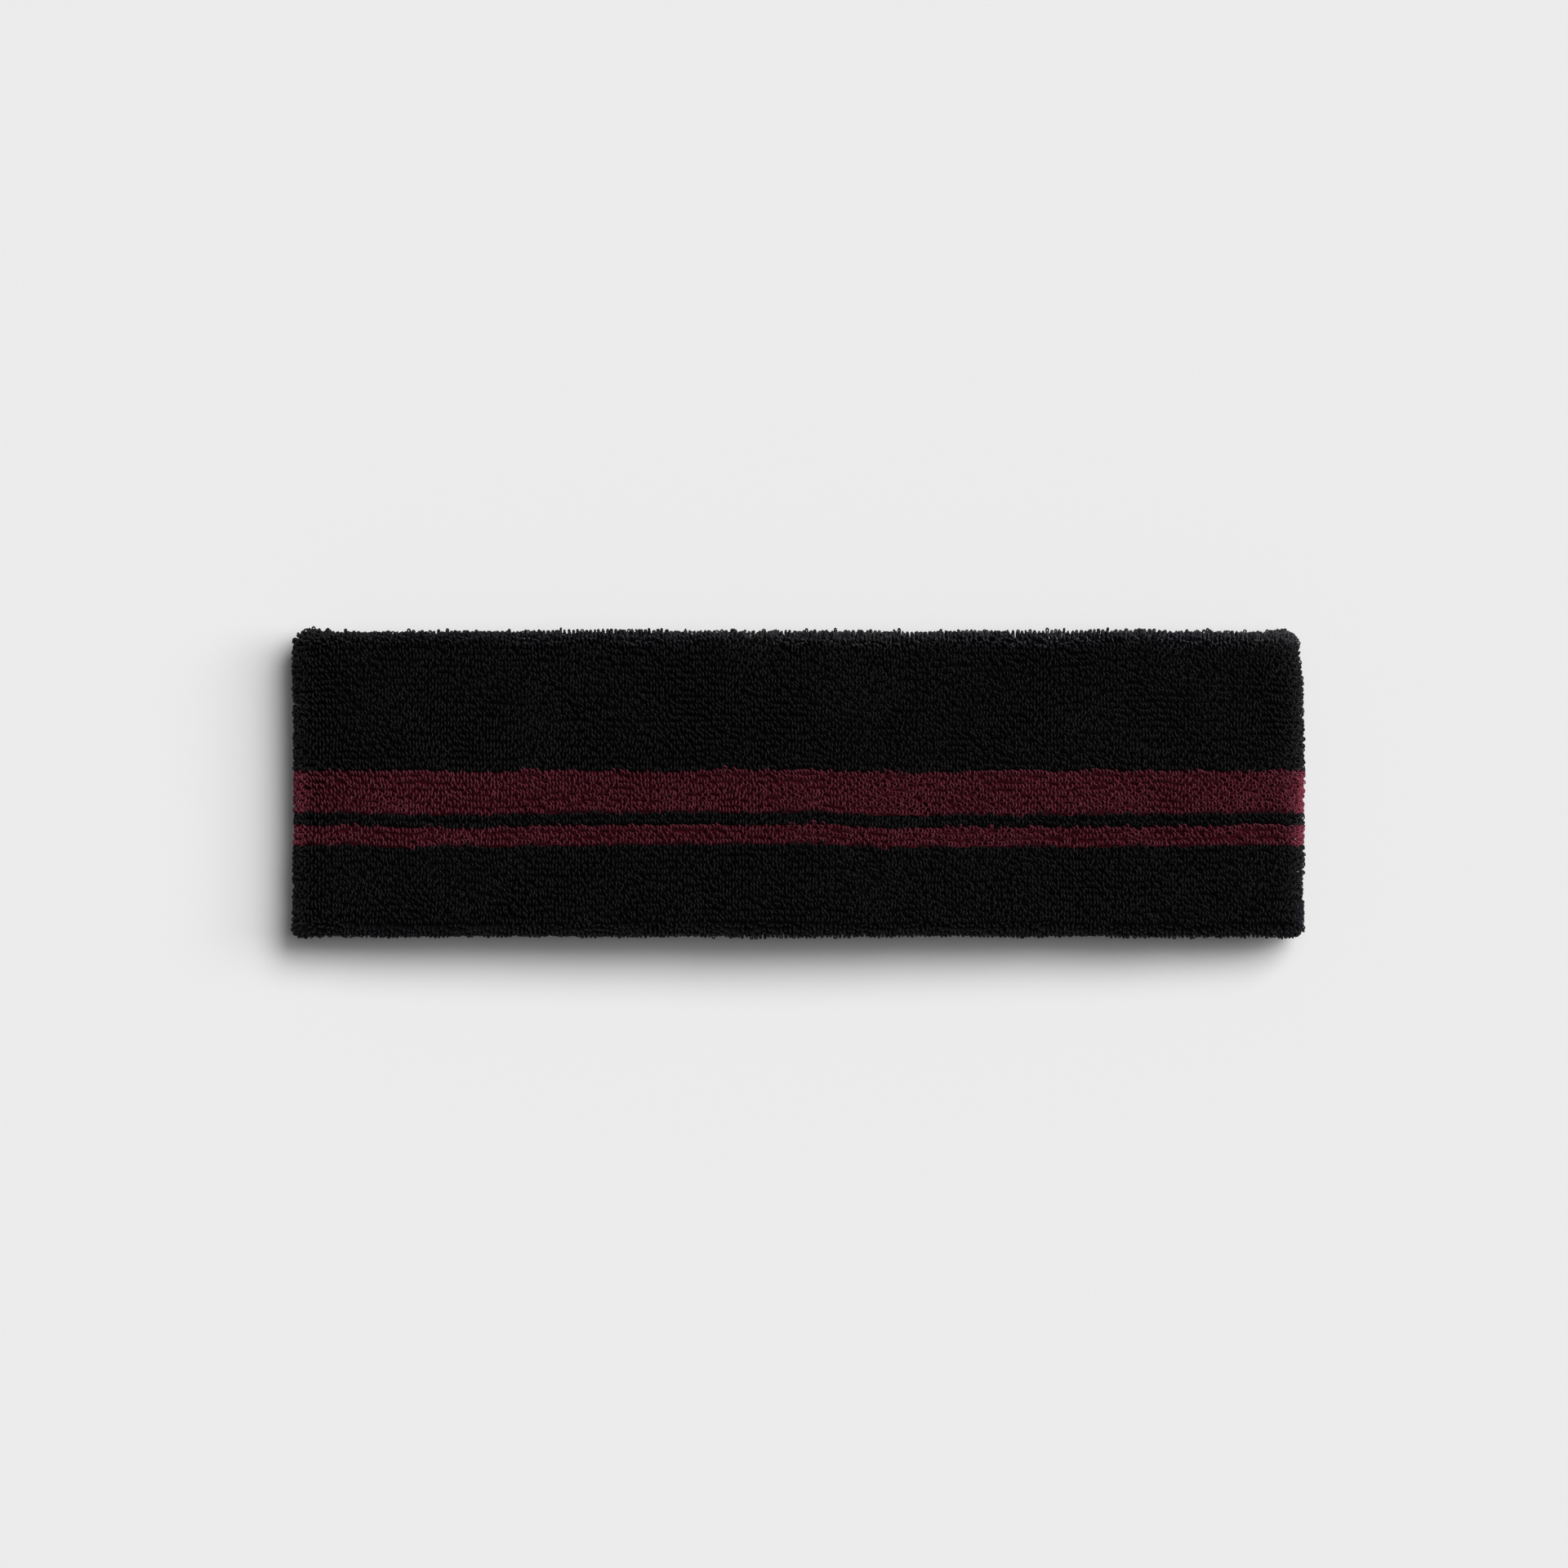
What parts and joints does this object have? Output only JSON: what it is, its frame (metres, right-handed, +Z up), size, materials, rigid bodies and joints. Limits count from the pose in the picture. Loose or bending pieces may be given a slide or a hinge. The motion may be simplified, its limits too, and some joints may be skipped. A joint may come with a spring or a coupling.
{
  "type": "terry sweat headband",
  "caption": "Seamless terry loop for the head, lying flat and collapsed: black pile with a wide and a narrow burgundy stripe, rolled rims, elastic core and a closing seam.",
  "frame": {"origin": "on the surface the band lies on, under the middle of its outline", "axes": "+X along the flattened loop from fold to fold, +Y across the band towards its wider black field, +Z up"},
  "size_m": [0.18, 0.0546, 0.016],
  "materials": {
    "black_terry": "matt cotton terry loops, near-black",
    "burgundy_terry": "matt cotton terry loops, dark burgundy",
    "ground_knit": "fine plain knit, near-black",
    "elastic_yarn": "covered rubber yarn, dull black",
    "seam_thread": "twisted thread, black, slight sheen"
  },
  "bodies": {
    "root": {"outer_upper_black_field": "black_terry", "outer_wide_burgundy_stripe": "burgundy_terry", "outer_thin_black_line": "black_terry", "outer_narrow_burgundy_stripe": "burgundy_terry", "outer_lower_black_field": "black_terry", "top_rolled_edge": "black_terry", "bottom_rolled_edge": "black_terry", "lining_upper": "black_terry", "lining_lower": "black_terry", "ground_knit": "ground_knit", "elastic_threads": "elastic_yarn", "closing_seam": "seam_thread"}
  },
  "joints": []
}
